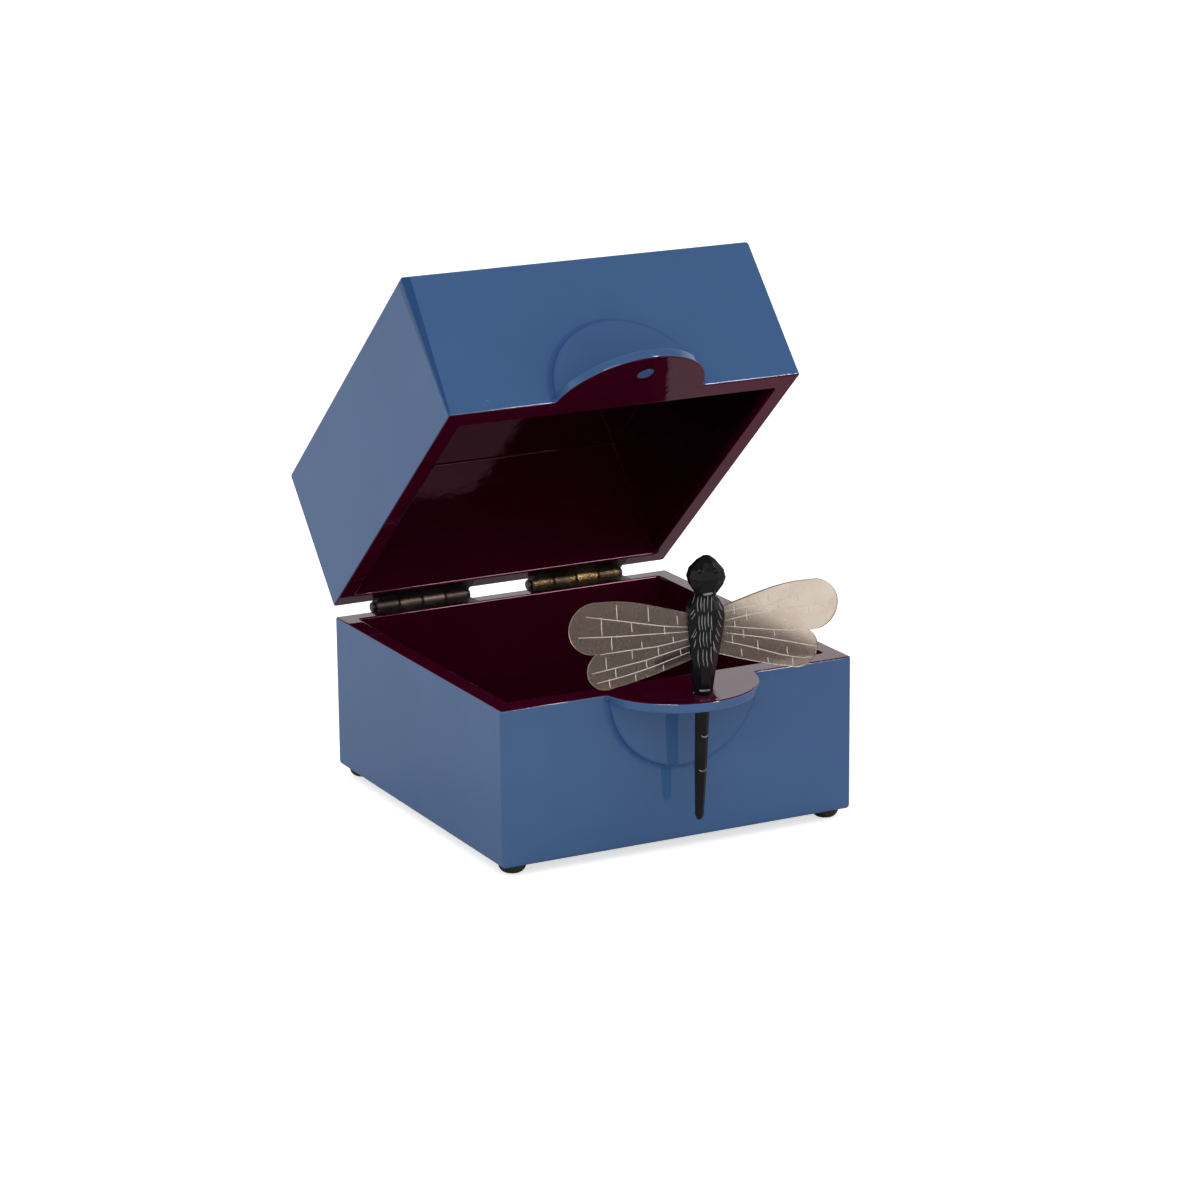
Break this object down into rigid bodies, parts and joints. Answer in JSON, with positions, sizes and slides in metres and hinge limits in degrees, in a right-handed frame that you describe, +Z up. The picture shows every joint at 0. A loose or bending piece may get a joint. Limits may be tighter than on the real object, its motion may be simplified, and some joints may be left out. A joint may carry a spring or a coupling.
{
  "type": "lacquered box",
  "caption": "Square lacquered wooden box in two equal halves, hinged at the back and held shut by a carved dragonfly pin.",
  "frame": {"origin": "on the surface it stands on, below the middle of the open box's bounding box", "axes": "+Z up, -Y to the front where the tabs and the dragonfly are, +X to the right seen from the front, along the hinge line"},
  "size_m": [0.12, 0.1746, 0.1711],
  "materials": {
    "lacquer_blue": "wood under smooth glossy slate blue lacquer",
    "lacquer_maroon": "glossy dark maroon lacquer",
    "brass_aged": "dark aged brass, brighter where it is rubbed",
    "horn_black": "satin black horn with pale engraved strokes",
    "horn_pale": "thin frosted cream horn, cloudy and lets light through",
    "rubber_black": "matt black rubber"
  },
  "bodies": {
    "base": {"base_floor": "lacquer_blue", "base_front_wall": "lacquer_blue", "base_back_wall": "lacquer_blue", "base_left_wall": "lacquer_blue", "base_right_wall": "lacquer_blue", "base_tab": "lacquer_blue", "base_boss": "lacquer_blue", "base_lining": "lacquer_maroon", "base_hinge_leaf_left": "brass_aged", "base_hinge_leaf_right": "brass_aged", "base_hinge_screws": "brass_aged", "foot_front_left": "rubber_black", "foot_front_right": "rubber_black", "foot_back_left": "rubber_black", "foot_back_right": "rubber_black", "hinge_pin_left": "brass_aged", "hinge_pin_right": "brass_aged"},
    "lid": {"lid_top": "lacquer_blue", "lid_front_wall": "lacquer_blue", "lid_back_wall": "lacquer_blue", "lid_left_wall": "lacquer_blue", "lid_right_wall": "lacquer_blue", "lid_tab": "lacquer_blue", "lid_boss": "lacquer_blue", "lid_lining": "lacquer_maroon", "lid_hinge_leaf_left": "brass_aged", "lid_hinge_leaf_right": "brass_aged", "lid_hinge_screws": "brass_aged"},
    "dragonfly": {"dragonfly_body": "horn_black", "dragonfly_wing_left": "horn_pale", "dragonfly_wing_right": "horn_pale"}
  },
  "joints": [
    {"name": "lid_hinge", "type": "hinge", "parent": "base", "child": "lid", "pos_m": [0, 0.05837, 0.05235], "axis": [-1, 0, 0], "range_deg": [-41.6, 0]},
    {"name": "dragonfly_lift", "type": "slide", "parent": "base", "child": "dragonfly", "axis": [0.0105, -0.0401, 0.9991], "range_m": [0, 0.2501]}
  ],
  "couplings": [
    {"joint": "dragonfly_lift", "follows": "lid_hinge", "m_per_rad": -0.3438}
  ]
}
